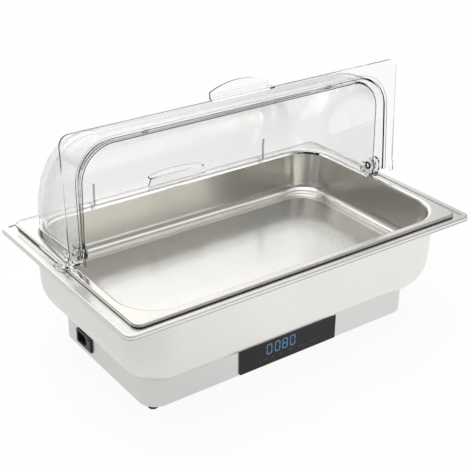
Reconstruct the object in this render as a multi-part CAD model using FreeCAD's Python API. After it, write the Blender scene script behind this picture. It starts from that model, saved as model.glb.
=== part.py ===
import FreeCAD, Part
import math
import os

Vector = FreeCAD.Vector
AXIS_X = Vector(1, 0, 0)
AXIS_Y = Vector(0, 1, 0)
AXIS_Z = Vector(0, 0, 1)
LEFT_RIGHT = (("left", -1), ("right", 1))
FOUR_CORNERS = ((1, 1), (-1, 1), (-1, -1), (1, -1))
NEAR = 0.01

# Electric chafing dish, millimetres. The origin is on the table under the middle of the pans,
# +X runs to the right of someone who faces the control panel, -Y points at that person, +Z is up.

# Heights
foot_height = 6.0
tub_floor_z = 43.5
tub_depth = 122.0
food_lip_height = 5.5

# Sheet metal
tub_sheet = 1.0
food_sheet = 0.9
plinth_sheet = 1.0
pan_seat_gap = 0.2

# Food pan, gastronorm size 1/1, 65 deep
food_half_x = 265.0
food_half_y = 162.5
food_corner = 12.0
food_rim_x = 12.5
food_rim_y = 12.5
food_mouth_corner = 55.0
food_depth = 65.0
food_wall_draft = 7.0
food_floor_radius = 14.0
food_field_rise = 1.2
food_field_margin = 4.0
food_field_slope = 8.0
food_bend = 5.0
food_lip_round = 2.0

# Water pan: drafted walls on a large rolled bottom, with a ledge and a curled edge round the top
rim_margin_x = 18.5
rim_margin_y = 12.0
rim_corner = 12.0
ledge_corner = 5.5
curl_width_x = 9.5
curl_width_y = 6.5
curl_rise = 1.3
curl_drop = 4.4
curl_round = 1.8
bead_radius = 1.4
tub_margin_x = 6.5
tub_margin_y = 5.3
tub_corner = 56.4
tub_draft = 2.3
tub_bottom_radius = 55.5
tub_corner_share = 0.6
tub_bottom_sections = 7

# Plinth under the water pan
plinth_setback_x = 33.2
plinth_setback_y = 38.6
plinth_corner = 25.4
plinth_flange = 12.0
base_plate_sheet = 1.2
base_plate_gap = 0.3
base_screw_inset = 101.385
foot_radius = 8.0
foot_taper = 1.0
foot_recess = 3.0
foot_setback = 15.0
vent_slot_length = 34.0
vent_slot_width = 4.0
vent_slot_pitch = 12.0
vent_slot_count = 7
vent_bank_x = 95.0

# Screws and nuts
screw_radius = 1.5
screw_head_radius = 2.9
screw_head_height = 1.8
screw_head_round = 0.6
screw_clearance = 0.2
screw_past_nut = 0.9
nut_height = 1.8
nut_taper = 0.29
stud_past_nut = 1.8
screw_past_flange = 1.8

# Control panel on the front of the plinth
panel_half_width = 83.7
panel_bottom_z = 6.8
panel_above_floor = 2.9
panel_thick = 2.2
panel_corner = 1.5
window_margin_x = 6.0
window_margin_z = 2.6
housing_depth = 16.0
housing_wall = 1.8
housing_fit = 0.4
housing_top_gap = 0.6
board_thick = 1.6
board_margin = 0.4
board_standoff = 6.0
digit_block_width = 56.0
digit_block_height = 19.0
digit_block_drop = 11.9
digit_block_offset = 11.2
touch_count = 6
touch_pitch = 20.4
touch_radius = 2.0
touch_rise = 7.2

# Mains inlet on the left end of the plinth
inlet_y = 50.0
inlet_z = 25.4
inlet_width = 42.6
inlet_height = 22.4
inlet_flange = 2.0
inlet_depth = 21.0
inlet_step = 1.2
inlet_fit = 0.4
inlet_corner = 2.5
socket_offset = 5.6
socket_width = 24.4
socket_height = 16.6
socket_chamfer = 5.0
socket_depth = 19.0
pin_length = 13.0
pin_width = 4.0
pin_thick = 2.0
pin_pitch = 5.3
pin_earth_offset = 4.0
pin_tail = 8.0
drawer_offset = 15.6
drawer_width = 8.6
drawer_height = 17.0
drawer_depth = 16.0
drawer_fit = 0.3
drawer_front = 2.0
drawer_wall = 1.0
drawer_grip = 1.0
fuse_radius = 2.5
fuse_length = 12.0

# Heater under the tub
heater_half_x = 150.0
heater_half_y = 75.0
heater_thick = 4.0
heater_corner = 20.0
element_radius = 3.25
element_pitch = 36.0
element_runs = 4
element_half_run = 110.0
clamp_width = 16.0
clamp_thick = 2.0
clamp_overhang = 8.75
clamp_stud_inset = 4.0
clamp_x = 60.0
cutout_radius = 8.0
cutout_height = 9.0
cutout_tab_length = 8.0
cutout_tab_width = 4.0
cutout_tab_thick = 1.0
probe_radius = 3.0
probe_length = 26.0
probe_x = 128.0

# Electronics inside the plinth
power_board_setback = 60.3
power_board_y = -40.0
power_board_length = 70.0
power_board_width = 60.0
power_standoff = 6.0
standoff_radius = 2.9
standoff_inset = 5.0
relay_size = (19.0, 15.0, 15.0)
capacitor_radius = 5.0
capacitor_height = 14.0
capacitor_inset_x = 16.0
capacitor_inset_y = 15.0
terminal_block_size = (20.0, 34.0, 12.0)
terminal_block_setback = 45.3
terminal_block_offset = 5.0

# Clear roll-top cover: a fixed rear quarter and a front quarter that turns over it
pivot_y = 1.7
pivot_rise = 21.1
open_angle = 93.0
lid_edge_fall = 5.0
cover_wall = 3.0
cover_seat_gap = 0.3
lid_seat_gap = 0.5
cover_inset_x = 18.0
cover_inset_y = 18.8
end_taper = 1.2
dome_corner = 50.0
flange_corner = 14.0
rear_front_edge = 6.7
rear_flange_overhang = 3.5
rear_flange_setback = 0.5
rear_flange_start = 3.5
rear_seam_angle = -135.0
lid_radius_gap = 2.7
lid_width_gap = 4.0
lid_flange_step = 4.0
lid_flange_overhang = 0.5
lid_leg_end = 2.5
lid_seam_angle = -45.0

# Grip tab on each half of the cover
tab_half_root = 52.0
tab_half_width = 47.0
tab_rise = 12.5
tab_straight = 7.0
tab_crown = 17.0
tab_wall = 2.6

# Hinge of the cover
hinge_pin_radius = 3.0
hinge_running_fit = 0.08
hinge_boss_radius = 11.0
hinge_boss_rise = 1.5
hinge_spacer_radius = 9.0
hinge_head_radius = 6.0
hinge_head_height = 1.4
hinge_face_gap = 0.5
ear_thick = 4.0
ear_offset = 1.2
ear_foot = 22.0
ear_top = 8.8
washer_radius = 6.5
washer_thick = 0.7
lid_hub_radius = 14.0
stop_y = 18.0
stop_length = 6.0
stop_gap = 0.2

# Small features of the cover
clip_y = 12.0
clip_length = 16.0
clip_drop = 4.4
clip_reach = 5.0
clip_thick = 2.0
clip_gap = 0.5
rib_x = 150.0
rib_thick = 2.0
rib_height = 38.0
catch_width = 8.0
catch_length = 4.0
ridge_rise = 2.2
lug_width = 4.5
lug_reach = 6.5

# Sizes of the pans and the plinth that follow from those above
ledge_z = tub_floor_z + tub_depth
food_rim_z = ledge_z + food_lip_height
rim_half_x = food_half_x + rim_margin_x
rim_half_y = food_half_y + rim_margin_y
tub_half_x = food_half_x - tub_margin_x
tub_half_y = food_half_y - tub_margin_y
plinth_half_x = tub_half_x - plinth_setback_x
plinth_half_y = tub_half_y - plinth_setback_y
base_plate_top = foot_height + base_plate_sheet

# Sizes of the inlet and the heater that follow
inlet_face_x = -plinth_half_x - inlet_flange
socket_y = inlet_y + socket_offset
drawer_y = inlet_y - drawer_offset
heater_low_z = tub_floor_z - heater_thick
clamp_top_z = heater_low_z - 2 * element_radius
clamp_half_length = (element_runs - 1) * element_pitch / 2 + element_radius + clamp_overhang
power_board_x = power_board_setback - plinth_half_x
power_board_z = base_plate_top + power_standoff

# Sizes of the cover that follow; radii and edges are measured from the pivot
pivot_z = food_rim_z + pivot_rise
rear_low_z = food_rim_z + cover_seat_gap
rear_outer_radius = food_half_y - cover_inset_y - pivot_y
rear_half_width = food_half_x - cover_inset_x
rear_flange_half_x = food_half_x + rear_flange_overhang
rear_flange_edge = food_half_y - rear_flange_setback - pivot_y
lid_low_z = food_rim_z + lid_seat_gap
lid_inner_radius = rear_outer_radius + lid_radius_gap
lid_inner_half_width = rear_half_width + lid_width_gap
lid_half_width = lid_inner_half_width + cover_wall
lid_flange_half_x = rear_flange_half_x + lid_flange_step
lid_flange_edge = food_half_y + lid_flange_overhang + pivot_y
hinge_inner_x = rear_half_width - cover_wall - hinge_boss_rise
ear_inner_x = lid_half_width + ear_offset
ear_outer_x = ear_inner_x + ear_thick


def box(x_low, x_high, y_low, y_high, z_low, z_high):
    """Box between two corners."""
    size = (x_high - x_low, y_high - y_low, z_high - z_low)
    return Part.makeBox(size[0], size[1], size[2], Vector(x_low, y_low, z_low))


def rod(radius, start, length, direction):
    """Round bar from a start point along a direction."""
    return Part.makeCylinder(radius, length, Vector(*start), direction)


def prism(corners, travel):
    """Prism over a closed outline of corner points, drawn out along a vector."""
    outline = [Vector(*corner) for corner in corners]
    return Part.Face(Part.makePolygon(outline + outline[:1])).extrude(travel)


def prism_x(points, x_low, x_high):
    """Prism along X over a closed outline of (y, z) points."""
    return prism([(x_low, y, z) for y, z in points], AXIS_X * (x_high - x_low))


def fuse_all(shapes):
    """One solid out of several that touch or overlap."""
    return shapes[0].multiFuse(shapes[1:]).removeSplitter()


def rounded_wire(half_x, half_y, radius, z):
    """Rounded rectangle round the Z axis, anticlockwise from its +X side."""
    corner_x = half_x - radius
    corner_y = half_y - radius
    diagonal = radius * math.sqrt(0.5)
    arcs = []
    for quarter, (sign_x, sign_y) in enumerate(FOUR_CORNERS):
        middle = Vector(sign_x * corner_x, sign_y * corner_y, z)
        start_angle = quarter * math.pi / 2
        end_angle = start_angle + math.pi / 2
        start = middle + Vector(radius * math.cos(start_angle), radius * math.sin(start_angle), 0)
        end = middle + Vector(radius * math.cos(end_angle), radius * math.sin(end_angle), 0)
        arcs.append((start, middle + Vector(sign_x * diagonal, sign_y * diagonal, 0), end))
    edges = []
    for index, (start, middle, end) in enumerate(arcs):
        next_start = arcs[(index + 1) % len(arcs)][0]
        edges.append(Part.Arc(start, middle, end).toShape())
        edges.append(Part.LineSegment(end, next_start).toShape())
    return Part.Wire(edges)


def slab(half_x, half_y, radius, z_low, z_high):
    """Rounded rectangular plate between two heights."""
    face = Part.Face(rounded_wire(half_x, half_y, radius, z_low))
    return face.extrude(AXIS_Z * (z_high - z_low))


def pipe(path, start, direction, radius):
    """Round bar along a path that starts at a point in a direction."""
    ring = Part.Wire(Part.Circle(start, direction, radius).toShape())
    sweep = Part.BRepOffsetAPI.MakePipeShell(path)
    sweep.add(ring)
    sweep.build()
    sweep.makeSolid()
    return sweep.shape()


def edges_at(shape, z):
    """Edges that lie wholly at one height."""
    found = []
    for edge in shape.Edges:
        bounds = edge.BoundBox
        if abs(bounds.ZMin - z) < NEAR and abs(bounds.ZMax - z) < NEAR:
            found.append(edge)
    return found


def edges_within(shape, z, half_x, half_y):
    """Edges at one height that stay inside a rectangle round the Z axis."""
    found = []
    for edge in edges_at(shape, z):
        bounds = edge.BoundBox
        inside_x = max(-bounds.XMin, bounds.XMax) < half_x
        inside_y = max(-bounds.YMin, bounds.YMax) < half_y
        if inside_x and inside_y:
            found.append(edge)
    return found


def edges_along(shape, direction):
    """Edges whose start runs along a direction, either way."""
    return [edge for edge in shape.Edges
            if abs(edge.tangentAt(edge.FirstParameter).dot(direction)) > 1 - NEAR]


def food_bowl(skin):
    """Solid form of the food pan's bowl, its faces moved outwards by the skin, floor field raised."""
    floor_z = food_rim_z - food_depth
    draft = food_depth * math.tan(math.radians(food_wall_draft))
    mouth_x = food_half_x - food_rim_x + skin
    mouth_y = food_half_y - food_rim_y + skin
    mouth_corner = food_mouth_corner + skin
    top = rounded_wire(mouth_x, mouth_y, mouth_corner, food_rim_z)
    bottom = rounded_wire(mouth_x - draft, mouth_y - draft, mouth_corner - draft, floor_z - skin)
    bowl = Part.makeLoft([top, bottom], True, True)
    bowl = bowl.makeFillet(food_floor_radius + skin, edges_at(bowl, floor_z - skin))
    return bowl.cut(food_floor_field(floor_z - skin))


def food_floor_field(low_z):
    """Low raised field of the food pan's floor, from which the juices run to the edge."""
    draft = food_depth * math.tan(math.radians(food_wall_draft))
    inset = draft + food_floor_radius + food_field_margin
    half_x = food_half_x - food_rim_x - inset
    half_y = food_half_y - food_rim_y - inset
    radius = food_mouth_corner - draft
    low = rounded_wire(half_x, half_y, radius, low_z)
    high = rounded_wire(half_x - food_field_slope, half_y - food_field_slope, radius - food_field_slope,
                        low_z + food_field_rise)
    return Part.makeLoft([low, high], True, True)


def food_rim_form(skin, low_z):
    """Solid form of the food pan's rim with a round upper edge, its faces moved inwards by the skin."""
    top_z = food_rim_z - skin
    form = slab(food_half_x - skin, food_half_y - skin, food_corner - skin, low_z, top_z)
    return form.makeFillet(food_lip_round - skin, edges_at(form, top_z))


def make_food_pan():
    """Lift-out pan: flat rim with a turned-down lip, drafted walls and a rounded floor edge."""
    low_z = ledge_z + pan_seat_gap
    rim = food_rim_form(0.0, low_z).cut(food_rim_form(food_sheet, low_z))
    pan = rim.fuse(food_bowl(food_sheet))
    limit_x = food_half_x - food_rim_x / 2
    limit_y = food_half_y - food_rim_y / 2
    under_edges = edges_within(pan, food_rim_z - food_sheet, limit_x, limit_y)
    pan = pan.makeFillet(food_bend - food_sheet, under_edges)
    pan = pan.cut(food_bowl(0.0))
    return pan.makeFillet(food_bend, edges_within(pan, food_rim_z, limit_x, limit_y))


def tub_section(inset, z, skin):
    """Outline of the water pan at one height, its corner tightening towards the bottom."""
    radius = tub_corner - tub_corner_share * inset - skin
    return rounded_wire(tub_half_x - inset - skin, tub_half_y - inset - skin, radius, z)


def tub_form(skin, top_z):
    """Solid form of the water pan below its ledge, its faces moved inwards by the skin."""
    lean = math.radians(tub_draft)
    arc_z = tub_floor_z + tub_bottom_radius
    arc_inset = (ledge_z - arc_z) * math.tan(lean) + tub_bottom_radius / math.cos(lean)
    radius = tub_bottom_radius - skin
    arc_sections = []
    for step in range(tub_bottom_sections):
        angle = lean + (math.pi / 2 - lean) * step / (tub_bottom_sections - 1)
        inset = arc_inset - radius * math.cos(angle) - skin
        arc_sections.append(tub_section(inset, arc_z - radius * math.sin(angle), skin))
    wall_low_z = arc_z - radius * math.sin(lean)
    wall_low_inset = arc_inset - radius * math.cos(lean) - skin
    wall_top_inset = wall_low_inset - (top_z - wall_low_z) * math.tan(lean)
    wall = Part.makeLoft([tub_section(wall_low_inset, wall_low_z, skin),
                          tub_section(wall_top_inset, top_z, skin)], True, True)
    bottom = Part.makeLoft(arc_sections, True, False)
    return wall.fuse(bottom)


def make_rim():
    """Ledge that carries the food pan, with the curled edge and its bead round it."""
    top_z = ledge_z + curl_rise
    low_z = ledge_z - curl_drop
    outer_x = rim_half_x - bead_radius / 2
    outer_y = rim_half_y - bead_radius / 2
    rim = slab(outer_x, outer_y, rim_corner, low_z, top_z)
    rim = rim.makeFillet(curl_round, edges_at(rim, top_z))
    recess = slab(rim_half_x - curl_width_x, rim_half_y - curl_width_y, ledge_corner, ledge_z, top_z)
    hollow = slab(outer_x - tub_sheet, outer_y - tub_sheet, rim_corner - tub_sheet,
                  low_z, ledge_z - tub_sheet)
    return rim.cut(recess).cut(hollow).fuse(curled_bead(low_z))


def curled_bead(z):
    """Round bead along the lower edge of the rim."""
    path = rounded_wire(rim_half_x - bead_radius, rim_half_y - bead_radius, rim_corner - bead_radius / 2, z)
    return pipe(path, path.Edges[0].Vertexes[0].Point, AXIS_Y, bead_radius)


def make_water_pan():
    """Stainless tub with the water in it, one drawn sheet with its ledge and curled edge."""
    pan = make_rim().fuse(tub_form(0.0, ledge_z - tub_sheet))
    pan = pan.cut(tub_form(tub_sheet, ledge_z))
    return pan.removeSplitter()


def plinth_slab(inset, z_low, z_high):
    """Plate with the plinth's outline, less an inset all round."""
    return slab(plinth_half_x - inset, plinth_half_y - inset, plinth_corner - inset, z_low, z_high)


def make_plinth():
    """Bent sheet skirt welded under the tub, with a return flange for the base plate."""
    skirt_top = tub_floor_z + tub_bottom_radius
    skirt = plinth_slab(0.0, foot_height, skirt_top).cut(plinth_slab(plinth_sheet, foot_height, skirt_top))
    flange_top = base_plate_top + plinth_sheet
    flange_hole = slab(plinth_half_x - plinth_flange, plinth_half_y - plinth_flange,
                       plinth_corner - plinth_flange + plinth_sheet, base_plate_top, flange_top)
    flange = plinth_slab(plinth_sheet, base_plate_top, flange_top).cut(flange_hole)
    skirt = skirt.fuse(flange).cut(tub_form(0.0, ledge_z))
    skirt = skirt.cut(panel_window()).cut(inlet_hole())
    for x, y in base_screw_places():
        skirt = skirt.cut(rod(screw_radius, (x, y, base_plate_top), plinth_sheet, AXIS_Z))
    skirt = clearance_holes(skirt, foot_places(), base_plate_top, plinth_sheet)
    return skirt.removeSplitter()


def foot_places():
    """Centres of the four feet, set diagonally inside the plinth's round corners."""
    reach_x = plinth_half_x - plinth_corner + foot_setback * math.sqrt(0.5)
    reach_y = plinth_half_y - plinth_corner + foot_setback * math.sqrt(0.5)
    return [(sign_x * reach_x, sign_y * reach_y) for sign_x, sign_y in FOUR_CORNERS]


def base_screw_places():
    """Screws of the base plate, on the middle of the plinth's return flange."""
    edge = (plinth_flange + plinth_sheet) / 2
    places = []
    for sign_x, sign_y in FOUR_CORNERS:
        places.append((sign_x * (plinth_half_x - base_screw_inset), sign_y * (plinth_half_y - edge)))
    for side, sign in LEFT_RIGHT:
        places.append((sign * (plinth_half_x - edge), 0.0))
    return places


def clearance_holes(plate, places, z_low, depth):
    """Plate with a clearance hole for a screw at each place."""
    for x, y in places:
        plate = plate.cut(rod(screw_radius + screw_clearance, (x, y, z_low), depth, AXIS_Z))
    return plate


def make_base_plate():
    """Flat cover under the plinth with two banks of ventilation slots."""
    plate = plinth_slab(plinth_sheet + base_plate_gap, foot_height, base_plate_top)
    plate = clearance_holes(plate, foot_places() + base_screw_places(), foot_height, base_plate_sheet)
    for side, sign in LEFT_RIGHT:
        for index in range(vent_slot_count):
            x = sign * vent_bank_x + (index - (vent_slot_count - 1) / 2) * vent_slot_pitch
            plate = plate.cut(vent_slot(x))
    return plate


def vent_slot(x):
    """One round-ended slot through the base plate, along Y."""
    radius = vent_slot_width / 2
    half = vent_slot_length / 2 - radius
    middle = box(x - radius, x + radius, -half, half, foot_height, base_plate_top)
    ends = [rod(radius, (x, sign * half, foot_height), base_plate_sheet, AXIS_Z) for side, sign in LEFT_RIGHT]
    return fuse_all([middle] + ends)


def make_feet():
    """Four rubber feet, each a short cone with a recess for its screw."""
    feet = []
    for x, y in foot_places():
        foot = Part.makeCone(foot_radius - foot_taper, foot_radius, foot_height, Vector(x, y, 0))
        foot = foot.cut(rod(screw_head_radius + screw_clearance, (x, y, 0), foot_recess, AXIS_Z))
        feet.append(clearance_holes(foot, [(x, y)], 0.0, foot_height))
    return Part.makeCompound(feet)


def screw_up(x, y, head_z, length):
    """Pan-head screw driven upwards, its head's top face against head_z."""
    low_z = head_z - screw_head_height
    head = rod(screw_head_radius, (x, y, low_z), screw_head_height, AXIS_Z)
    head = head.makeFillet(screw_head_round, edges_at(head, low_z))
    return fuse_all([head, rod(screw_radius, (x, y, head_z), length, AXIS_Z)])


def make_foot_screws():
    """Screws that hold the feet, with a nut on each above the plinth's flange."""
    nut_z = base_plate_top + plinth_sheet
    length = nut_z - foot_recess + nut_height + screw_past_nut
    pieces = []
    for x, y in foot_places():
        nut = Part.makeCone(screw_head_radius, screw_head_radius - nut_taper, nut_height, Vector(x, y, nut_z))
        pieces.append(fuse_all([screw_up(x, y, foot_recess, length), nut]))
    return Part.makeCompound(pieces)


def make_base_screws():
    """Screws that hold the base plate to the plinth's flange."""
    length = base_plate_sheet + plinth_sheet + screw_past_flange
    screws = [screw_up(x, y, foot_height, length) for x, y in base_screw_places()]
    return Part.makeCompound(screws)


def panel_window():
    """Hole in the plinth's front behind the glass."""
    half_x = panel_half_width - window_margin_x
    return box(-half_x, half_x, -plinth_half_y - panel_thick, -plinth_half_y + housing_depth,
               panel_bottom_z + window_margin_z, tub_floor_z)


def make_panel_glass():
    """Black glass of the control panel, with rounded corners, standing on the plinth's face."""
    glass = box(-panel_half_width, panel_half_width, -plinth_half_y - panel_thick, -plinth_half_y,
                panel_bottom_z, tub_floor_z + panel_above_floor)
    return glass.makeFillet(panel_corner, edges_along(glass, AXIS_Y))


def housing_box(inset, y_front, y_back):
    """Box that fills the panel window, less an inset all round."""
    half_x = panel_half_width - window_margin_x - housing_fit - inset
    low_z = panel_bottom_z + window_margin_z + housing_fit + inset
    high_z = tub_floor_z - housing_top_gap - inset
    return box(-half_x, half_x, y_front, y_back, low_z, high_z)


def make_panel_housing():
    """Plastic tray behind the glass that carries the display board."""
    front = -plinth_half_y
    back = front + housing_depth
    tray = housing_box(0.0, front, back)
    return tray.cut(housing_box(housing_wall, front, back - housing_wall))


def make_display_board():
    """Circuit board of the panel."""
    front = -plinth_half_y + board_standoff
    return housing_box(housing_wall + board_margin, front, front + board_thick)


def make_led_display():
    """Four-digit display block on the board, just behind the glass."""
    half_width = digit_block_width / 2
    half_height = digit_block_height / 2
    z = tub_floor_z - digit_block_drop
    return box(-digit_block_offset - half_width, -digit_block_offset + half_width,
               -plinth_half_y, -plinth_half_y + board_standoff, z - half_height, z + half_height)


def make_touch_pads():
    """Touch springs between the board and the glass, in one row behind the keys."""
    z = panel_bottom_z + touch_rise
    pads = []
    for index in range(touch_count):
        x = (index - (touch_count - 1) / 2) * touch_pitch
        pads.append(rod(touch_radius, (x, -plinth_half_y, z), board_standoff, AXIS_Y))
    return Part.makeCompound(pads)


def inlet_block(half_y, half_z, x_low, x_high):
    """Box round the middle of the inlet."""
    return box(x_low, x_high, inlet_y - half_y, inlet_y + half_y, inlet_z - half_z, inlet_z + half_z)


def inlet_hole():
    """Hole in the plinth's left end for the body of the inlet."""
    return inlet_block(inlet_width / 2 - inlet_step, inlet_height / 2 - inlet_step,
                       inlet_face_x, -plinth_half_x + inlet_depth)


def socket_cavity():
    """Six-sided recess of the mains socket, lying on its side with its two front corners cut off."""
    half_y = socket_width / 2
    half_z = socket_height / 2
    points = [(-half_y, socket_chamfer - half_z), (socket_chamfer - half_y, -half_z), (half_y, -half_z),
              (half_y, half_z), (socket_chamfer - half_y, half_z), (-half_y, half_z - socket_chamfer)]
    outline = [(socket_y + y, inlet_z + z) for y, z in points]
    return prism_x(outline, inlet_face_x, inlet_face_x + socket_depth)


def drawer_slot():
    """Slot of the inlet that the fuse drawer slides in."""
    half_y = drawer_width / 2 + drawer_fit
    half_z = drawer_height / 2 + drawer_fit
    return box(inlet_face_x, inlet_face_x + drawer_depth + drawer_fit,
               drawer_y - half_y, drawer_y + half_y, inlet_z - half_z, inlet_z + half_z)


def inlet_blades():
    """Three flat contacts that pass through the back of the socket, the middle one set off."""
    start_x = inlet_face_x + socket_depth - pin_length
    tail_x = -plinth_half_x + inlet_depth + pin_tail
    half_offset = pin_earth_offset / 2
    blades = []
    for offset_y, offset_z in ((-half_offset, -pin_pitch), (half_offset, 0.0), (-half_offset, pin_pitch)):
        y = socket_y + offset_y
        z = inlet_z + offset_z
        blades.append(box(start_x, tail_x, y - pin_width / 2, y + pin_width / 2,
                          z - pin_thick / 2, z + pin_thick / 2))
    return blades


def make_inlet_body():
    """Black inlet body: flange on the plinth's face, socket recess and fuse slot."""
    half_y = inlet_width / 2
    half_z = inlet_height / 2
    flange = inlet_block(half_y, half_z, inlet_face_x, -plinth_half_x)
    flange = flange.makeFillet(inlet_corner, edges_along(flange, AXIS_X))
    inset = inlet_step + inlet_fit
    body = inlet_block(half_y - inset, half_z - inset, -plinth_half_x, -plinth_half_x + inlet_depth)
    inlet = fuse_all([flange, body]).cut(socket_cavity()).cut(drawer_slot())
    for blade in inlet_blades():
        inlet = inlet.cut(blade)
    return inlet


def make_inlet_blades():
    """The three contacts as separate solids."""
    return Part.makeCompound(inlet_blades())


def make_fuse_drawer():
    """Small drawer beside the socket with a trough for its fuse, its grip just outside the flange."""
    half_y = drawer_width / 2
    half_z = drawer_height / 2
    half_trough = fuse_radius + drawer_fit
    back_x = inlet_face_x + drawer_depth
    drawer = box(inlet_face_x - drawer_grip, back_x, drawer_y - half_y, drawer_y + half_y,
                 inlet_z - half_z, inlet_z + half_z)
    trough = box(inlet_face_x + drawer_front, back_x - drawer_wall, drawer_y - half_trough, drawer_y + half_y,
                 inlet_z - half_trough, inlet_z + half_trough)
    return drawer.cut(trough)


def make_fuse():
    """Glass fuse lying in the drawer."""
    return rod(fuse_radius, (inlet_face_x + drawer_front, drawer_y, inlet_z), fuse_length, AXIS_X)


def make_heating_plate():
    """Aluminium plate clamped flat against the underside of the tub."""
    return slab(heater_half_x, heater_half_y, heater_corner, heater_low_z, tub_floor_z)


def make_heating_element():
    """Sheathed element bent to and fro under the heating plate."""
    z = heater_low_z - element_radius
    bend = element_pitch / 2
    first_y = -(element_runs - 1) * bend
    edges = []
    for run in range(element_runs):
        y = first_y + run * element_pitch
        sign = 1 if run % 2 == 0 else -1
        start = Vector(-sign * element_half_run, y, z)
        end = Vector(sign * element_half_run, y, z)
        edges.append(Part.LineSegment(start, end).toShape())
        if run < element_runs - 1:
            middle = Vector(sign * (element_half_run + bend), y + bend, z)
            turn_end = Vector(sign * element_half_run, y + element_pitch, z)
            edges.append(Part.Arc(end, middle, turn_end).toShape())
    return pipe(Part.Wire(edges), Vector(-element_half_run, first_y, z), AXIS_X, element_radius)


def clamp_stud_places():
    """Places of the studs near the ends of the clamp bars."""
    y = clamp_half_length - clamp_stud_inset
    return [(sign_x * clamp_x, sign_y * y) for sign_x, sign_y in FOUR_CORNERS]


def make_heater_clamps():
    """Two bars that press the element and the plate against the tub."""
    low_z = clamp_top_z - clamp_thick
    bars = []
    for side, sign in LEFT_RIGHT:
        x = sign * clamp_x
        bar = box(x - clamp_width / 2, x + clamp_width / 2, -clamp_half_length, clamp_half_length,
                  low_z, clamp_top_z)
        bars.append(clearance_holes(bar, clamp_stud_places(), low_z, clamp_thick))
    return Part.makeCompound(bars)


def make_clamp_studs():
    """Studs under the heating plate, with a nut under each end of the clamp bars."""
    nut_z = clamp_top_z - clamp_thick - nut_height
    stud_z = nut_z - stud_past_nut
    studs = []
    for x, y in clamp_stud_places():
        stud = rod(screw_radius, (x, y, stud_z), heater_low_z - stud_z, AXIS_Z)
        nut = rod(screw_head_radius, (x, y, nut_z), nut_height, AXIS_Z)
        studs.append(fuse_all([stud, nut]))
    return Part.makeCompound(studs)


def make_thermal_cutout():
    """Bimetal safety switch under the middle of the heating plate, with its two tabs."""
    low_z = heater_low_z - cutout_height
    body = rod(cutout_radius, (0, 0, low_z), cutout_height, AXIS_Z)
    tabs = []
    for side, sign in LEFT_RIGHT:
        y = sign * cutout_radius / 2
        tabs.append(box(-cutout_tab_width / 2, cutout_tab_width / 2, y - cutout_tab_thick / 2,
                        y + cutout_tab_thick / 2, low_z - cutout_tab_length, low_z))
    return fuse_all([body] + tabs)


def make_temperature_probe():
    """Sensor that reads the tub's temperature for the controller."""
    return rod(probe_radius, (probe_x, -probe_length / 2, heater_low_z - probe_radius), probe_length, AXIS_Y)


def make_power_board():
    """Power board that switches the heater."""
    half_x = power_board_length / 2
    half_y = power_board_width / 2
    return box(power_board_x - half_x, power_board_x + half_x, power_board_y - half_y, power_board_y + half_y,
               power_board_z, power_board_z + board_thick)


def make_board_standoffs():
    """Pillars between the base plate and the power board."""
    reach_x = power_board_length / 2 - standoff_inset
    reach_y = power_board_width / 2 - standoff_inset
    pillars = []
    for sign_x, sign_y in FOUR_CORNERS:
        start = (power_board_x + sign_x * reach_x, power_board_y + sign_y * reach_y, base_plate_top)
        pillars.append(rod(standoff_radius, start, power_standoff, AXIS_Z))
    return Part.makeCompound(pillars)


def make_board_components():
    """Relay in the middle of the power board and capacitor near one corner."""
    top_z = power_board_z + board_thick
    length, width, height = relay_size
    relay = box(power_board_x - length / 2, power_board_x + length / 2, power_board_y - width / 2,
                power_board_y + width / 2, top_z, top_z + height)
    x = power_board_x + power_board_length / 2 - capacitor_inset_x
    y = power_board_y - power_board_width / 2 + capacitor_inset_y
    capacitor = rod(capacitor_radius, (x, y, top_z), capacitor_height, AXIS_Z)
    return Part.makeCompound([relay, capacitor])


def make_terminal_block():
    """Terminal block behind the inlet."""
    length, width, height = terminal_block_size
    x = terminal_block_setback - plinth_half_x
    y = inlet_y - terminal_block_offset
    return box(x - length / 2, x + length / 2, y - width / 2, y + width / 2,
               base_plate_top, base_plate_top + height)


def at_pivot(shape):
    """Shape moved from the origin to the pivot of the cover."""
    shape.translate(Vector(0, pivot_y, pivot_z))
    return shape


def pivot_rod(radius, x_low, x_high):
    """Round bar along the pivot axis of the cover."""
    return rod(radius, (x_low, pivot_y, pivot_z), x_high - x_low, AXIS_X)


def mirrored(shape, normal):
    """Copy of a shape on the other side of a plane through the pivot."""
    return shape.mirror(Vector(0, pivot_y, 0), normal)


def dome_drum(radius, half_width, corner, seam_angle):
    """Solid drum round the pivot: flat hubs, tapered end walls, round shoulders; its seam at one angle."""
    shoulder_x = half_width - (radius - lid_hub_radius) * math.tan(math.radians(end_taper))
    outline = [(half_width, 0), (half_width, lid_hub_radius), (shoulder_x, radius),
               (-shoulder_x, radius), (-half_width, lid_hub_radius), (-half_width, 0)]
    corners = [Vector(x, y, 0) for x, y in outline]
    face = Part.Face(Part.makePolygon(corners + corners[:1]))
    face.rotate(Vector(0, 0, 0), AXIS_X, seam_angle)
    drum = face.revolve(Vector(0, 0, 0), AXIS_X, 360)
    shoulders = [edge for edge in drum.Edges
                 if isinstance(edge.Curve, Part.Circle) and abs(edge.Curve.Radius - radius) < NEAR]
    return at_pivot(drum.makeFillet(corner, shoulders))


def cover_drums(radius, half_width, seam_angle):
    """Outer and inner form of one half of the cover, as whole drums."""
    outer = dome_drum(radius, half_width, dome_corner, seam_angle)
    inner = dome_drum(radius - cover_wall, half_width - cover_wall, dome_corner - cover_wall, seam_angle)
    return outer, inner


def flange_plate(half_x, edge, y_low, y_high, low_z):
    """Rounded plate round the pivot, kept between two places in Y."""
    plate = slab(half_x, edge, flange_corner, low_z, low_z + cover_wall)
    plate.translate(Vector(0, pivot_y, 0))
    return plate.common(box(-half_x, half_x, y_low, y_high, low_z, low_z + cover_wall))


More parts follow.
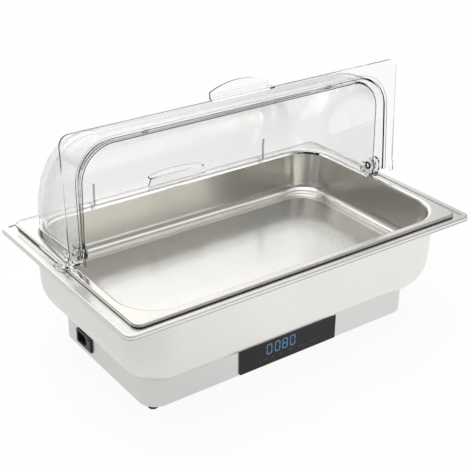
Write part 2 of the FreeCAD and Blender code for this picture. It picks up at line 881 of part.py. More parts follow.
def grip_tab(edge, low_z):
    """Raised D-shaped tab on the edge of a flange at +Y."""
    y = pivot_y + edge
    root = y - tab_wall
    top_z = low_z + tab_rise
    riser = box(-tab_half_root, tab_half_root, root, y, low_z, low_z + cover_wall)
    wall = prism([(-tab_half_root, root, low_z), (tab_half_root, root, low_z),
                  (tab_half_width, root, top_z), (-tab_half_width, root, top_z)], AXIS_Y * tab_wall)
    left = Vector(-tab_half_width, y + tab_straight, top_z)
    right = Vector(tab_half_width, y + tab_straight, top_z)
    back_left = Vector(-tab_half_width, root, top_z)
    back_right = Vector(tab_half_width, root, top_z)
    outline = Part.Wire([Part.LineSegment(back_right, right).toShape(),
                         Part.Arc(right, Vector(0, y + tab_crown, top_z), left).toShape(),
                         Part.LineSegment(left, back_left).toShape(),
                         Part.LineSegment(back_left, back_right).toShape()])
    plate = Part.Face(outline).extrude(AXIS_Z * tab_wall)
    return fuse_all([riser, wall, plate])


def hinge_ear():
    """Upright ear on the right end of the rear cover, outside the lid, with a sloping foot."""
    points = [(rear_flange_start, rear_low_z), (ear_foot, rear_low_z), (ear_foot, rear_low_z + cover_wall),
              (ear_top, pivot_z), (rear_flange_start, pivot_z)]
    web = prism_x([(pivot_y + y, z) for y, z in points], ear_inner_x, ear_outer_x)
    return fuse_all([pivot_rod(hinge_boss_radius, ear_inner_x, ear_outer_x), web])


def hinge_boss():
    """Boss on the inside of the rear cover's right end wall, and spacer between that wall and the lid."""
    boss = pivot_rod(hinge_boss_radius, hinge_inner_x, rear_half_width - cover_wall / 2)
    spacer = pivot_rod(hinge_spacer_radius, hinge_inner_x, lid_inner_half_width - hinge_face_gap)
    return fuse_all([boss, spacer])


def lid_stop():
    """Post on the right end of the rear flange that the open lid's end wall comes to rest on."""
    slope = math.tan(math.radians(lid_edge_fall))
    seat_z = pivot_z - lid_leg_end - stop_gap
    stop_end = stop_y + stop_length
    points = [(stop_y, rear_low_z), (stop_end, rear_low_z),
              (stop_end, seat_z - stop_end * slope), (stop_y, seat_z - stop_y * slope)]
    return prism_x([(pivot_y + y, z) for y, z in points], lid_inner_half_width - hinge_face_gap, ear_outer_x)


def rim_clip():
    """Clip on the right end of the rear flange that reaches down outside the food pan's lip."""
    inner_x = food_half_x + clip_gap
    low_z = rear_low_z - clip_drop
    y_low = pivot_y + clip_y
    y_high = y_low + clip_length
    leg = box(inner_x, inner_x + clip_thick, y_low, y_high, low_z, rear_low_z + cover_wall)
    lug = box(inner_x, rear_flange_half_x + clip_reach, y_low, y_high, low_z, low_z + clip_thick)
    return fuse_all([leg, lug])


def drum_ridge(width, y_low, y_high, z_low, z_high):
    """Piece of a raised ring round the rear cover's drum, at the rib's place on the right side."""
    x_low = rib_x - width / 2
    x_high = rib_x + width / 2
    ring = pivot_rod(rear_outer_radius + ridge_rise, x_low, x_high)
    ring = ring.cut(pivot_rod(rear_outer_radius - cover_wall / 2, x_low, x_high))
    return ring.common(box(x_low, x_high, y_low, y_high, z_low, z_high))


def wall_ridges():
    """Thin rib low on the back of the rear cover and catch on its front edge, right side."""
    beyond = rear_outer_radius + cover_wall
    front_y = pivot_y - rear_front_edge
    rib = drum_ridge(rib_thick, pivot_y, pivot_y + beyond, rear_low_z, rear_low_z + rib_height)
    catch = drum_ridge(catch_width, front_y, front_y + catch_length, pivot_z, pivot_z + beyond)
    return [rib, catch]


def make_rear_cover():
    """Fixed clear quarter: shell, flange on the pan's rim, grip tab, hinge ears, stops and clips."""
    outer, inner = cover_drums(rear_outer_radius, rear_half_width, rear_seam_angle)
    beyond = rear_outer_radius + cover_wall
    shell = outer.cut(inner).common(box(-lid_half_width, lid_half_width, pivot_y - rear_front_edge,
                                        pivot_y + beyond, rear_low_z, pivot_z + beyond))
    flange = flange_plate(rear_flange_half_x, rear_flange_edge, pivot_y + rear_flange_start,
                          pivot_y + rear_flange_edge, rear_low_z).cut(inner)
    right = [hinge_ear(), hinge_boss(), lid_stop(), rim_clip()] + wall_ridges()
    left = [mirrored(feature, AXIS_X) for feature in right]
    cover = shell.multiFuse([flange, grip_tab(rear_flange_edge, rear_low_z)] + right + left)
    return cover.cut(pivot_rod(hinge_pin_radius, -ear_outer_x, ear_outer_x)).removeSplitter()


def lid_lug():
    """Small lug at the end of the lid's right flange leg."""
    x_low = lid_flange_half_x - lug_width / 2
    return box(x_low, x_low + lug_width, pivot_y - lug_reach, pivot_y + lid_leg_end + lug_reach,
               lid_low_z, lid_low_z + cover_wall)


def make_lid_closed():
    """Front clear quarter as it lies when shut."""
    radius = lid_inner_radius + cover_wall
    outer, inner = cover_drums(radius, lid_half_width, lid_seam_angle)
    beyond = radius + cover_wall
    end_y = pivot_y + lid_leg_end
    lean = beyond * math.tan(math.radians(lid_edge_fall - open_angle + 90))
    outline = [(pivot_y - beyond, lid_low_z), (end_y, lid_low_z), (end_y, pivot_z),
               (end_y + lean, pivot_z + beyond), (pivot_y - beyond, pivot_z + beyond)]
    region = prism_x(outline, -ear_inner_x, ear_inner_x)
    region = region.fuse(pivot_rod(lid_hub_radius, -ear_inner_x, ear_inner_x))
    shell = outer.cut(inner).common(region)
    flange = flange_plate(lid_flange_half_x, lid_flange_edge, pivot_y - lid_flange_edge, end_y, lid_low_z)
    tab = mirrored(grip_tab(lid_flange_edge, lid_low_z), AXIS_Y)
    lid = shell.multiFuse([flange.cut(inner), tab, lid_lug(), mirrored(lid_lug(), AXIS_X)])
    bore = pivot_rod(hinge_pin_radius + hinge_running_fit, -ear_inner_x, ear_inner_x)
    return lid.cut(bore).removeSplitter()


def make_lid():
    """Front clear quarter turned back over the rear one, as in use."""
    lid = make_lid_closed()
    lid.rotate(Vector(0, pivot_y, pivot_z), AXIS_X, -open_angle)
    return lid


def make_hinge_pin(sign):
    """Headed pin of one hinge, pushed in from the inside."""
    shank = pivot_rod(hinge_pin_radius, hinge_inner_x, ear_outer_x)
    head = pivot_rod(hinge_head_radius, hinge_inner_x - hinge_head_height, hinge_inner_x)
    pin = fuse_all([shank, head])
    return pin if sign > 0 else mirrored(pin, AXIS_X)


def make_hinge_washers():
    """Thin washers between the lid's end walls and the ears."""
    middle = (lid_half_width + ear_inner_x) / 2
    washer = pivot_rod(washer_radius, middle - washer_thick / 2, middle + washer_thick / 2)
    washer = washer.cut(pivot_rod(hinge_pin_radius, lid_half_width, ear_inner_x))
    return Part.makeCompound([washer, mirrored(washer, AXIS_X)])


def build_nodes():
    """Every sub-part under its name."""
    nodes = {
        "water_pan": make_water_pan(),
        "plinth": make_plinth(),
        "base_plate": make_base_plate(),
        "feet": make_feet(),
        "foot_screws": make_foot_screws(),
        "base_screws": make_base_screws(),
        "panel_glass": make_panel_glass(),
        "panel_housing": make_panel_housing(),
        "display_board": make_display_board(),
        "led_display": make_led_display(),
        "touch_pads": make_touch_pads(),
        "inlet_body": make_inlet_body(),
        "inlet_blades": make_inlet_blades(),
        "fuse_drawer": make_fuse_drawer(),
        "fuse": make_fuse(),
        "heating_plate": make_heating_plate(),
        "heating_element": make_heating_element(),
        "heater_clamps": make_heater_clamps(),
        "clamp_studs": make_clamp_studs(),
        "thermal_cutout": make_thermal_cutout(),
        "temperature_probe": make_temperature_probe(),
        "power_board": make_power_board(),
        "board_standoffs": make_board_standoffs(),
        "board_components": make_board_components(),
        "terminal_block": make_terminal_block(),
        "food_pan": make_food_pan(),
        "rear_cover": make_rear_cover(),
        "front_lid": make_lid(),
        "hinge_washers": make_hinge_washers(),
    }
    for side, sign in LEFT_RIGHT:
        nodes["hinge_pin_" + side] = make_hinge_pin(sign)
    return nodes


os.makedirs("parts", exist_ok=True)
for name, shape in build_nodes().items():
    shape.exportStep("parts/" + name + ".step")
    print(name, "valid", shape.isValid(), "solids", len(shape.Solids), "volume", round(shape.Volume))
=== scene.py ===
import bmesh
import bpy
import math
from mathutils import Matrix, Vector


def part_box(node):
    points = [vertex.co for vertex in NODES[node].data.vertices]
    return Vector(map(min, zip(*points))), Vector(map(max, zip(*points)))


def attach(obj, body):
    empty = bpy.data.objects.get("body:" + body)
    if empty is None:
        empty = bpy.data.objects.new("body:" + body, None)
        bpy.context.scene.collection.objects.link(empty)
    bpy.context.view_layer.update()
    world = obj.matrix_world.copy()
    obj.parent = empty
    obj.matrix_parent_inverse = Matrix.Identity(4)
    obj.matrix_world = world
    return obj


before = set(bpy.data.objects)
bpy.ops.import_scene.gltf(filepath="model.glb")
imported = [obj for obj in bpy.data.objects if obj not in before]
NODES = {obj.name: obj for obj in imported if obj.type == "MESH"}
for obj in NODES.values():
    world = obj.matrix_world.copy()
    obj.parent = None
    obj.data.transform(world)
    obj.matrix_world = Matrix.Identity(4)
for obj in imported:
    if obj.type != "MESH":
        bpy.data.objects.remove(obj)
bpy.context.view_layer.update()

# Lengths are in metres, and angles in radians where nothing else is said.

# The photograph's viewpoint
CAMERA_PLACE = Vector((-0.77646, -1.05762, 0.81498))
CAMERA_YAW = 0.6292
CAMERA_PITCH = 0.4724
CAMERA_ROLL = 0.0112
CAMERA_LENS = 79.87
CAMERA_SENSOR = 36.0
CAMERA_NEAREST = 0.05

# The grey room that metal mirrors. Each side is its azimuth, elevation, inner and outer angle in
# degrees, and how much brighter or darker than the room it is.
ROOM_LEVEL = 0.33
ROOM_SIDES = (
    (8, 27, 18, 46, 1.05),
    (0, 90, 36, 44, 0.95),
    (228, 28, 10, 38, -0.12),
    (0, 90, 14, 36, -0.55),
)

# The lamp: a soft box above the object
KEY_PLACE = (-0.5, -0.2, 2.3)
KEY_AIM = (0, 0, 0.1)
KEY_SIZE = (2.0, 2.0)
KEY_POWER = 14.0

# The floor, whose mirrored picture dims towards the left with painted shade
FLOOR_REACH = 30
FLOOR_GLOW = 1.02
FLOOR_GLOW_SHARE = 0.9
FLOOR_MIRROR_SHADE = (0.78, 0.78, 0.775)
FLOOR_MIRROR_SHADE_X = (-0.40, 0.05)

# Light crosses many walls of clear plastic in a row
LIGHT_BOUNCES = 28

# The clear cover: its pivot, the lid's turn from shut to open, and its drums as half width, radius
# and shoulder. Places along an edge are distances outside a drum, and ahead of or above the pivot.
PIVOT = Vector((0, 0.0017, 0.1921))
LID_TURN = math.radians(93)
END_TAPER = math.tan(math.radians(1.2))
HUB_RADIUS = 0.014
REAR_DRUM = (0.247, 0.142, 0.050)
REAR_WALL = -0.0015
REAR_FACE_Y = -0.0065
REAR_LINING_Y = -0.0010
# Painted shade: thin near-black lines on the rear cover's front edge and ribs, for light its edges
# bend away
REAR_SHADE_LINE = (-0.0021, 0.00065)
RIDGE_X = (0.1500, 0.0011)
RIDGE_RISE = 0.0004
RIDGE_SHADE_DARKNESS = 0.5
LID_DRUM = (0.251, 0.1447, 0.047)
LID_WALL = 0.0015
LID_FACE_Z = -0.0204
LID_LINING_Z = -0.0140
# Painted shade: a thin near-black line where the lid's dome meets its flange, weaker further from
# the pivot
LID_SHADE_LINE = (0.0070, 0.0005)
LID_SHADE_LINE_STRENGTH = (1.0, 0.4)
LID_SHADE_LINE_RADII = (0.09, 0.145)
WALL_REACH = 0.0017

# Painted shade at the foot of the food pan's lip
LIP_HALF = (0.265, 0.1625)
LIP_CORNER = 0.012
LIP_DEPTH = -0.001
LIP_SHADE_Z = 0.1669

# The panel's display
PANEL_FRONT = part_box("panel_glass")[0].y
SEGMENT_PROUD = 0.00006
DIGIT_WIDTH = 0.0078
DIGIT_HEIGHT = 0.0150
DIGIT_STROKE = 0.0017
DIGIT_GAP = 0.12
DIGIT_LOW = 0.0236
DIGIT_LEFTS = (-0.0382, -0.0242, -0.0112, 0.0022)
SHOWN_NUMBER = "0080"
SEGMENTS = {"0": "abcdef", "8": "abcdefg"}
KEY_MIDDLES = (-0.0506, -0.0402, -0.0280, -0.0137, 0.0045, 0.0224, 0.0437)
KEY_LOW = 0.0160
KEY_HIGH = 0.0167
KEY_HALF = 0.0022
KEY_HALF_GROWTH = 0.0045
KEY_GROWTH_X = 0.03
KEY_GROWTH_LENGTH = 0.07

WHITE = (1, 1, 1)


# Node trees

def material(name):
    """New node material with its nodes, its shader and its output."""
    made = bpy.data.materials.new(name)
    made.use_nodes = True
    tree = made.node_tree
    return made, tree, tree.nodes["Principled BSDF"], tree.nodes["Material Output"]


def node(tree, kind, **settings):
    """New node with some of its inputs or properties set."""
    made = tree.nodes.new(kind)
    for key, value in settings.items():
        if key in made.inputs:
            made.inputs[key].default_value = value
        else:
            setattr(made, key, value)
    return made


def place(tree, scale=(1, 1, 1)):
    """Object coordinates stretched by a scale."""
    coordinates = node(tree, "ShaderNodeTexCoord")
    mapping = node(tree, "ShaderNodeMapping")
    mapping.inputs["Scale"].default_value = scale
    tree.links.new(coordinates.outputs["Object"], mapping.inputs["Vector"])
    return mapping.outputs["Vector"]


def parts_of(tree, vector):
    """A vector's X, Y and Z."""
    made = node(tree, "ShaderNodeSeparateXYZ")
    tree.links.new(vector, made.inputs[0])
    return made.outputs


def noise(tree, scale, vector, detail=4.0, roughness=0.55):
    """Noise pattern over a vector."""
    made = node(tree, "ShaderNodeTexNoise", Scale=scale, Detail=detail, Roughness=roughness)
    tree.links.new(vector, made.inputs["Vector"])
    return made.outputs["Fac"]


def spread(tree, value, low, high, start=0.3, end=0.7):
    """A pattern's values spread between two numbers."""
    made = node(tree, "ShaderNodeMapRange")
    made.inputs["From Min"].default_value = start
    made.inputs["From Max"].default_value = end
    made.inputs["To Min"].default_value = low
    made.inputs["To Max"].default_value = high
    tree.links.new(value, made.inputs["Value"])
    return made.outputs["Result"]


def two_colours(tree, factor, first, second):
    """Colour that a pattern mixes out of two, each a colour or a pattern."""
    made = node(tree, "ShaderNodeMix", data_type="RGBA")
    for slot, colour in zip(made.inputs[6:8], (first, second)):
        if isinstance(colour, tuple):
            slot.default_value = (*colour, 1)
        else:
            tree.links.new(colour, slot)
    tree.links.new(factor, made.inputs[0])
    return made.outputs[2]


def two_shaders(tree, factor, first, second, output):
    """Surface that a pattern mixes out of two shaders."""
    mix = node(tree, "ShaderNodeMixShader")
    tree.links.new(factor, mix.inputs[0])
    tree.links.new(first.outputs[0], mix.inputs[1])
    tree.links.new(second.outputs[0], mix.inputs[2])
    tree.links.new(mix.outputs[0], output.inputs["Surface"])


def calc(tree, operation, first, second=None, third=None):
    """Sum, product, comparison or the like of patterns and numbers."""
    made = node(tree, "ShaderNodeMath", operation=operation)
    for slot, value in zip(made.inputs, (first, second, third)):
        if isinstance(value, float):
            slot.default_value = value
        elif value is not None:
            tree.links.new(value, slot)
    return made.outputs[0]


def length_of(tree, first, second):
    """Length of the line whose two sides are given."""
    squares = calc(tree, "MULTIPLY_ADD", first, first, calc(tree, "MULTIPLY", second, second))
    return calc(tree, "SQRT", squares)


def near(tree, value, middle, reach):
    """1 where a value is close to a number, and 0 elsewhere."""
    return calc(tree, "COMPARE", value, middle, reach)


def below(tree, value, limit):
    """1 where a value is under a number, and 0 elsewhere."""
    return calc(tree, "LESS_THAN", value, limit)


def above(tree, value, limit):
    """1 where a value is over a number, and 0 elsewhere."""
    return calc(tree, "GREATER_THAN", value, limit)


def both(tree, first, second):
    """Product of two patterns: 1 only where both are."""
    return calc(tree, "MULTIPLY", first, second)


def light_share(tree, *kinds):
    """1 for the named kinds of ray and 0 for the others."""
    path = node(tree, "ShaderNodeLightPath")
    last = path.outputs[kinds[0]]
    for kind in kinds[1:]:
        last = calc(tree, "MAXIMUM", last, path.outputs[kind])
    return last


def outside(tree, across, along, half_across, half_along, corner):
    """Distance outside a rounded rectangle, negative inside it, from a point's two coordinates."""
    over_across = calc(tree, "MAXIMUM", calc(tree, "SUBTRACT", across, half_across - corner), 0.0)
    over_along = calc(tree, "MAXIMUM", calc(tree, "SUBTRACT", along, half_along - corner), 0.0)
    return calc(tree, "SUBTRACT", length_of(tree, over_across, over_along), corner)


def bump(tree, height, strength, distance, shader):
    """Relief of a pattern on a shader."""
    made = node(tree, "ShaderNodeBump", Strength=strength, Distance=distance)
    tree.links.new(height, made.inputs["Height"])
    tree.links.new(made.outputs["Normal"], shader.inputs["Normal"])


# Finishes

def steel(name, bright, dark, rough, grain_scale, relief, shade=None):
    """Satin sheet steel: clouded colour, fine grain in its roughness and a faint relief."""
    made, tree, shader, _ = material(name)
    shader.inputs["Metallic"].default_value = 1.0
    clouds = noise(tree, 6.0, place(tree), 3.0)
    colour = two_colours(tree, spread(tree, clouds, 0, 1), bright, dark)
    if shade:
        # Painted shade: the colour turns near-black where the shade mask is 1
        colour = two_colours(tree, shade(tree), colour, (0.012, 0.012, 0.012))
    tree.links.new(colour, shader.inputs["Base Color"])
    grain = noise(tree, 1.0, place(tree, grain_scale), 5.0, 0.7)
    tree.links.new(spread(tree, grain, *rough), shader.inputs["Roughness"])
    bump(tree, grain, relief, 0.0004, shader)
    return made


def moulded(name, colour, lighter, rough, relief=0.15, scale=900.0):
    """Moulded plastic or rubber with a fine textured skin."""
    made, tree, shader, _ = material(name)
    skin = noise(tree, scale, place(tree), 3.0)
    mottled = two_colours(tree, spread(tree, skin, 0, 1), colour, lighter)
    tree.links.new(mottled, shader.inputs["Base Color"])
    tree.links.new(spread(tree, skin, *rough), shader.inputs["Roughness"])
    bump(tree, skin, relief, 0.0002, shader)
    return made


def painted_lip_shade(tree):
    """Mask of painted shade at the foot of the food pan's lip, where it stands on the ledge."""
    x, y, z = parts_of(tree, place(tree))
    across = calc(tree, "ABSOLUTE", x)
    along = calc(tree, "ABSOLUTE", y)
    at_lip = above(tree, outside(tree, across, along, *LIP_HALF, LIP_CORNER), LIP_DEPTH)
    return both(tree, at_lip, below(tree, z, LIP_SHADE_Z))


def about_pivot(tree, turn):
    """Coordinates about the cover's pivot, turned back: across, along Y, up, and the radius."""
    mapping = place(tree).node
    mapping.inputs["Rotation"].default_value = (turn, 0, 0)
    mapping.inputs["Location"].default_value = Matrix.Rotation(turn, 3, "X") @ -PIVOT
    x, y, z = parts_of(tree, mapping.outputs["Vector"])
    return calc(tree, "ABSOLUTE", x), y, z, length_of(tree, y, z)


def drum_outside(tree, across, radius, half_width, drum_radius, corner):
    """Distance outside a cover drum with slightly tapered ends."""
    inner = calc(tree, "MINIMUM", radius, drum_radius - corner)
    past_hub = calc(tree, "SUBTRACT", inner, HUB_RADIUS)
    tapered = calc(tree, "MULTIPLY_ADD", past_hub, END_TAPER, across)
    return outside(tree, tapered, radius, half_width, drum_radius, corner)


def with_lining(tree, face, wall, beside):
    """An edge's face, and beside it the wall as it is met from inside the plastic."""
    inside = node(tree, "ShaderNodeNewGeometry").outputs["Backfacing"]
    return calc(tree, "MAXIMUM", face, both(tree, both(tree, wall, beside), inside))


def rear_edge(tree):
    """Rear cover: painted shade as thin dark lines along its front edge and ribs, and the edge's
    clear part.
    """
    across, ahead, _, radius = about_pivot(tree, 0.0)
    distance = drum_outside(tree, across, radius, *REAR_DRUM)
    # Painted shade: a dark line along the front edge, and a half-dark one along each rib
    line = both(tree, near(tree, distance, *REAR_SHADE_LINE), below(tree, ahead, REAR_FACE_Y))
    ridge = both(tree, near(tree, across, *RIDGE_X), above(tree, distance, RIDGE_RISE))
    line = calc(tree, "MULTIPLY_ADD", ridge, RIDGE_SHADE_DARKNESS, line)
    wall = near(tree, distance, REAR_WALL, WALL_REACH)
    face = both(tree, wall, below(tree, ahead, REAR_FACE_Y))
    return line, with_lining(tree, face, wall, below(tree, ahead, REAR_LINING_Y))


def lid_edge(tree):
    """Lid: a painted shade line where its dome meets its flange, and its mouth's clear part."""
    across, _, up, radius = about_pivot(tree, LID_TURN)
    distance = drum_outside(tree, across, radius, *LID_DRUM)
    # Painted shade: a dark line where the dome meets the flange, fading with the radius
    line = both(tree, near(tree, distance, *LID_SHADE_LINE), below(tree, up, LID_FACE_Z))
    line = both(tree, line, spread(tree, radius, *LID_SHADE_LINE_STRENGTH, *LID_SHADE_LINE_RADII))
    wall = near(tree, distance, LID_WALL, WALL_REACH)
    face = both(tree, wall, below(tree, up, LID_FACE_Z))
    return line, with_lining(tree, face, wall, below(tree, up, LID_LINING_Z))


def clear(name, tint, density, ripple, index=1.49, edge=None):
    """Clear moulded plastic: refracting, a little absorbing, with the ripples of its mould."""
    made, tree, shader, output = material(name)
    shader.inputs["Transmission Weight"].default_value = 1.0
    shader.inputs["IOR"].default_value = index
    shader.inputs["Base Color"].default_value = (0.99, 0.99, 0.99, 1)
    waves = noise(tree, 14.0, place(tree), 2.0, 0.4)
    tree.links.new(spread(tree, waves, 0.0, 0.03), shader.inputs["Roughness"])
    bump(tree, waves, ripple, 0.002, shader)
    through = light_share(tree, "Is Shadow Ray", "Is Diffuse Ray")
    if edge:
        line, clear_part = edge(tree)
        # Painted shade: the edge's lines are near-black and opaque in the clear plastic
        shade_lined = two_colours(tree, line, (0.975, 0.975, 0.975), (0.03, 0.03, 0.03))
        tree.links.new(shade_lined, shader.inputs["Base Color"])
        tree.links.new(calc(tree, "SUBTRACT", 1.0, line), shader.inputs["Transmission Weight"])
        through = calc(tree, "MAXIMUM", through, calc(tree, "SUBTRACT", clear_part, line))
    window = node(tree, "ShaderNodeBsdfTransparent", Color=(0.96, 0.965, 0.965, 1))
    two_shaders(tree, through, shader, window, output)
    absorb = node(tree, "ShaderNodeVolumeAbsorption", Color=(*tint, 1), Density=density)
    tree.links.new(absorb.outputs[0], output.inputs["Volume"])
    return made


def glass_panel():
    """Black glass of the control panel."""
    made, tree, shader, _ = material("panel_glass_black")
    skin = noise(tree, 40.0, place(tree), 3.0)
    mottled = two_colours(tree, spread(tree, skin, 0, 1), (0.010, 0.010, 0.011),
                          (0.014, 0.014, 0.015))
    tree.links.new(mottled, shader.inputs["Base Color"])
    tree.links.new(spread(tree, skin, 0.16, 0.24), shader.inputs["Roughness"])
    shader.inputs["Specular IOR Level"].default_value = 0.3
    return made


def glow(name, colour, strength):
    """Lit segment seen through the dark glass, a little uneven."""
    made, tree, shader, _ = material(name)
    shader.inputs["Base Color"].default_value = (0.01, 0.02, 0.03, 1)
    shader.inputs["Roughness"].default_value = 0.2
    cells = noise(tree, 400.0, place(tree), 2.0)
    dim = tuple(part * 0.8 for part in colour)
    uneven = two_colours(tree, spread(tree, cells, 0, 1), colour, dim)
    tree.links.new(uneven, shader.inputs["Emission Color"])
    shader.inputs["Emission Strength"].default_value = strength
    return made


def finishes():
    """Every CAD node's finish."""
    tub = steel("tub_satin", (0.85, 0.84, 0.815), (0.83, 0.82, 0.795), (0.26, 0.34),
                (60, 60, 900), 0.05)
    plinth = steel("plinth_satin", (0.74, 0.73, 0.715), (0.71, 0.70, 0.69), (0.28, 0.36),
                   (60, 60, 900), 0.05)
    food_pan = steel("food_pan_polish", (0.86, 0.845, 0.80), (0.84, 0.825, 0.78), (0.15, 0.23),
                     (300, 300, 300), 0.03, painted_lip_shade)
    base_sheet = steel("base_sheet", (0.55, 0.55, 0.55), (0.5, 0.5, 0.5), (0.38, 0.5),
                       (500, 40, 500), 0.1)
    plated = steel("plated", (0.6, 0.6, 0.6), (0.5, 0.5, 0.5), (0.3, 0.42), (700, 700, 700), 0.1)
    sheath = steel("sheath", (0.32, 0.31, 0.30), (0.24, 0.235, 0.23), (0.4, 0.55),
                   (900, 90, 900), 0.2)
    cast = steel("cast_aluminium", (0.6, 0.6, 0.61), (0.52, 0.52, 0.53), (0.42, 0.55),
                 (900, 900, 900), 0.3)
    contact = steel("contact", (0.78, 0.75, 0.66), (0.7, 0.66, 0.56), (0.22, 0.3),
                    (900, 900, 900), 0.05)
    rubber = moulded("rubber", (0.018, 0.018, 0.018), (0.03, 0.03, 0.03), (0.6, 0.8), 0.3)
    black = moulded("black_moulding", (0.02, 0.02, 0.021), (0.035, 0.035, 0.036), (0.34, 0.46))
    dark = moulded("component", (0.03, 0.03, 0.03), (0.06, 0.06, 0.06), (0.4, 0.55))
    white = moulded("white_moulding", (0.72, 0.71, 0.68), (0.8, 0.79, 0.76), (0.4, 0.5))
    board = moulded("board_green", (0.02, 0.12, 0.05), (0.03, 0.17, 0.07), (0.25, 0.4), 0.2, 300.0)
    pin = clear("clear_pin", (0.85, 0.87, 0.88), 10.0, 0.05, 1.12)
    return {
        "water_pan": tub, "plinth": plinth, "food_pan": food_pan, "base_plate": base_sheet,
        "feet": rubber, "foot_screws": plated, "base_screws": plated,
        "panel_glass": glass_panel(), "panel_housing": black, "display_board": board,
        "led_display": dark, "touch_pads": contact, "inlet_body": black,
        "inlet_blades": contact, "fuse_drawer": black, "fuse": pin,
        "heating_plate": cast, "heating_element": sheath, "heater_clamps": plated,
        "clamp_studs": plated, "thermal_cutout": dark, "temperature_probe": plated,
        "power_board": board, "board_standoffs": white, "board_components": dark,
        "terminal_block": white,
        "rear_cover": clear("clear_cover", (0.80, 0.83, 0.84), 10.0, 0.06, edge=rear_edge),
        "front_lid": clear("clear_lid", (0.80, 0.83, 0.84), 10.0, 0.06, edge=lid_edge),
        "hinge_washers": pin, "hinge_pin_left": pin, "hinge_pin_right": pin,
    }


def dress_frame():
    """Gives every CAD node its finish."""
    for name, finish in finishes().items():
        slots = NODES[name].data.materials
        slots.clear()
        slots.append(finish)


# The panel's display

def piece(name, mesh_maker, finish, body):
    """Mesh piece made by a function that fills a bmesh, riding on a body."""
    mesh = bpy.data.meshes.new(name)
    shape = bmesh.new()
    mesh_maker(shape)
    bmesh.ops.recalc_face_normals(shape, faces=shape.faces)
    shape.to_mesh(mesh)
    shape.free()
    made = bpy.data.objects.new(name, mesh)
    bpy.context.scene.collection.objects.link(made)
    mesh.materials.append(finish)
    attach(made, body)


def plate_on_panel(shape, corners):
    """Thin plate on the panel's glass with the given (x, z) corners."""
    front = [shape.verts.new((x, PANEL_FRONT - SEGMENT_PROUD, z)) for x, z in corners]
    back = [shape.verts.new((x, PANEL_FRONT + SEGMENT_PROUD, z)) for x, z in corners]
    shape.faces.new(front)
    shape.faces.new(back[::-1])
    for index in range(len(corners)):
        following = (index + 1) % len(corners)
        shape.faces.new((front[index], back[index], back[following], front[following]))


def segment_bar(shape, start, end, stroke):
    """Six-cornered bar of a digit between two points."""
    along = (Vector(end) - Vector(start)).normalized()
    across = Vector((-along.y, along.x)) * stroke / 2
    a = Vector(start) + along * stroke * DIGIT_GAP
    b = Vector(end) - along * stroke * DIGIT_GAP
    tip = along * stroke / 2
    corners = [a, a + tip + across, b - tip + across, b, b - tip - across, a + tip - across]
    plate_on_panel(shape, [(p.x, p.y) for p in corners])


def draw_number(shape):
    """Four seven-segment digits."""
    low, middle, high = DIGIT_LOW, DIGIT_LOW + DIGIT_HEIGHT / 2, DIGIT_LOW + DIGIT_HEIGHT
    for left, digit in zip(DIGIT_LEFTS, SHOWN_NUMBER):
        right = left + DIGIT_WIDTH
        lines = {
            "a": ((left, high), (right, high)), "b": ((right, high), (right, middle)),
            "c": ((right, middle), (right, low)), "d": ((left, low), (right, low)),
            "e": ((left, middle), (left, low)), "f": ((left, high), (left, middle)),
            "g": ((left, middle), (right, middle)),
        }
        for letter in SEGMENTS[digit]:
            segment_bar(shape, *lines[letter], DIGIT_STROKE)


def draw_keys(shape):
    """Short dashes that mark the touch keys, longer towards the right."""
    for x in KEY_MIDDLES:
        half = KEY_HALF + KEY_HALF_GROWTH * max(0.0, x + KEY_GROWTH_X) / KEY_GROWTH_LENGTH
        plate_on_panel(shape, [(x - half, KEY_LOW), (x + half, KEY_LOW),
                               (x + half, KEY_HIGH), (x - half, KEY_HIGH)])


def make_display():
    """Digits and key marks on the black glass."""
    piece("display_digits", draw_number, glow("digit_light", (0.075, 0.21, 0.40), 1.0), "base")
    piece("key_marks", draw_keys, glow("key_light", (0.08, 0.12, 0.20), 0.5), "base")


# Room, light and camera

def make_floor():
    """Pale floor that keeps the object's shadow and shows white."""
    mesh = bpy.data.meshes.new("floor")
    shape = bmesh.new()
    corners = ((-1, -1), (1, -1), (1, 1), (-1, 1))
    shape.faces.new([shape.verts.new((x * FLOOR_REACH, y * FLOOR_REACH, 0)) for x, y in corners])
    shape.to_mesh(mesh)
    shape.free()
    floor = bpy.data.objects.new("floor", mesh)
    bpy.context.scene.collection.objects.link(floor)
    made, tree, shader, output = material("floor_paper")
    paper = noise(tree, 30.0, place(tree), 3.0)
    mottled = two_colours(tree, spread(tree, paper, 0, 1), (0.86, 0.86, 0.86), (0.88, 0.88, 0.88))
    tree.links.new(mottled, shader.inputs["Base Color"])
    shader.inputs["Roughness"].default_value = 0.9
    # Painted shade: seen in mirrors, the floor darkens towards its left side
    fall = spread(tree, parts_of(tree, place(tree))["X"], 0, 1, *FLOOR_MIRROR_SHADE_X)
    mirrored = two_colours(tree, fall, FLOOR_MIRROR_SHADE, WHITE)
    lit = node(tree, "ShaderNodeEmission", Strength=FLOOR_GLOW)
    tree.links.new(two_colours(tree, light_share(tree, "Is Glossy Ray"), WHITE, mirrored),
                   lit.inputs["Color"])
    seen = light_share(tree, "Is Camera Ray", "Is Glossy Ray", "Is Transmission Ray")
    two_shaders(tree, calc(tree, "MULTIPLY", seen, FLOOR_GLOW_SHARE), shader, lit, output)
    mesh.materials.append(made)


def lobe(tree, heading, azimuth, elevation, inner, outer, amount):
    """Soft round patch towards one side; angles in degrees, azimuth from +Y towards +X."""
    turn, tilt = math.radians(azimuth), math.radians(elevation)
    towards = (math.sin(turn) * math.cos(tilt), math.cos(turn) * math.cos(tilt), math.sin(tilt))
    nearness = node(tree, "ShaderNodeVectorMath", operation="DOT_PRODUCT")
    nearness.inputs[1].default_value = towards
    tree.links.new(heading, nearness.inputs[0])
    fade = node(tree, "ShaderNodeMapRange", interpolation_type="SMOOTHSTEP")
    fade.inputs["From Min"].default_value = math.cos(math.radians(outer))
    fade.inputs["From Max"].default_value = math.cos(math.radians(inner))
    fade.inputs["To Max"].default_value = amount
    tree.links.new(nearness.outputs["Value"], fade.inputs["Value"])
    return fade.outputs["Result"]


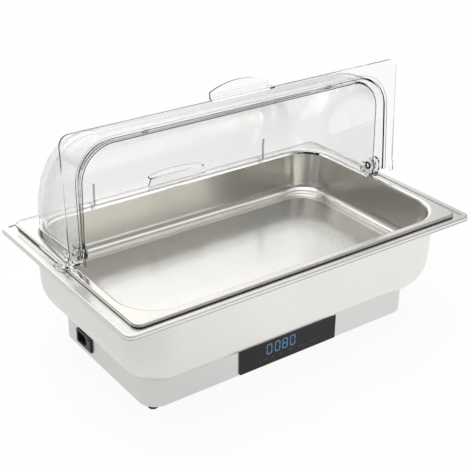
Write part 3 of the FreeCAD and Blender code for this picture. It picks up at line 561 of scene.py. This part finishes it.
def make_world():
    """Studio surroundings: plain white where looked at, and in mirrors a grey room with sides."""
    world = bpy.data.worlds.new("studio")
    bpy.context.scene.world = world
    world.use_nodes = True
    tree = world.node_tree
    background = tree.nodes["Background"]
    heading = node(tree, "ShaderNodeTexCoord").outputs["Generated"]
    level = ROOM_LEVEL
    for side in ROOM_SIDES:
        level = calc(tree, "ADD", lobe(tree, heading, *side), level)
    path = node(tree, "ShaderNodeLightPath")
    unmirrored = below(tree, path.outputs["Glossy Depth"], 0.5)
    seen_through = both(tree, path.outputs["Is Transmission Ray"], unmirrored)
    looked_at = calc(tree, "MAXIMUM", path.outputs["Is Camera Ray"], seen_through)
    tree.links.new(two_colours(tree, looked_at, level, WHITE), background.inputs["Color"])
    background.inputs["Strength"].default_value = 1.0


def make_lamp():
    """Soft box above the object, left out of mirrors so that level steel isn't blown out."""
    data = bpy.data.lights.new("key", "AREA")
    data.shape = "RECTANGLE"
    data.size, data.size_y = KEY_SIZE
    data.energy = KEY_POWER
    lamp = bpy.data.objects.new("key", data)
    lamp.location = KEY_PLACE
    lamp.rotation_mode = "QUATERNION"
    lamp.rotation_quaternion = (Vector(KEY_AIM) - Vector(KEY_PLACE)).to_track_quat("-Z", "Y")
    lamp.visible_glossy = False
    bpy.context.scene.collection.objects.link(lamp)


def make_camera():
    """Camera at the photograph's viewpoint."""
    data = bpy.data.cameras.new("camera")
    data.lens = CAMERA_LENS
    data.sensor_width = CAMERA_SENSOR
    data.clip_start = CAMERA_NEAREST
    camera = bpy.data.objects.new("camera", data)
    bpy.context.scene.collection.objects.link(camera)
    yaw, pitch, roll = CAMERA_YAW, CAMERA_PITCH, CAMERA_ROLL
    ahead = Vector((math.sin(yaw) * math.cos(pitch), math.cos(yaw) * math.cos(pitch),
                    -math.sin(pitch)))
    right = Vector((math.cos(yaw), -math.sin(yaw), 0))
    up = right.cross(ahead)
    side = right * math.cos(roll) + up * math.sin(roll)
    top = up * math.cos(roll) - right * math.sin(roll)
    turn = Matrix((side, top, -ahead)).transposed().to_4x4()
    camera.matrix_world = Matrix.Translation(CAMERA_PLACE) @ turn
    bpy.context.scene.camera = camera


dress_frame()
make_display()
make_floor()
make_world()
make_lamp()
make_camera()
bpy.context.scene.view_settings.view_transform = "Standard"
bpy.context.scene.cycles.max_bounces = LIGHT_BOUNCES
bpy.context.scene.cycles.transmission_bounces = LIGHT_BOUNCES
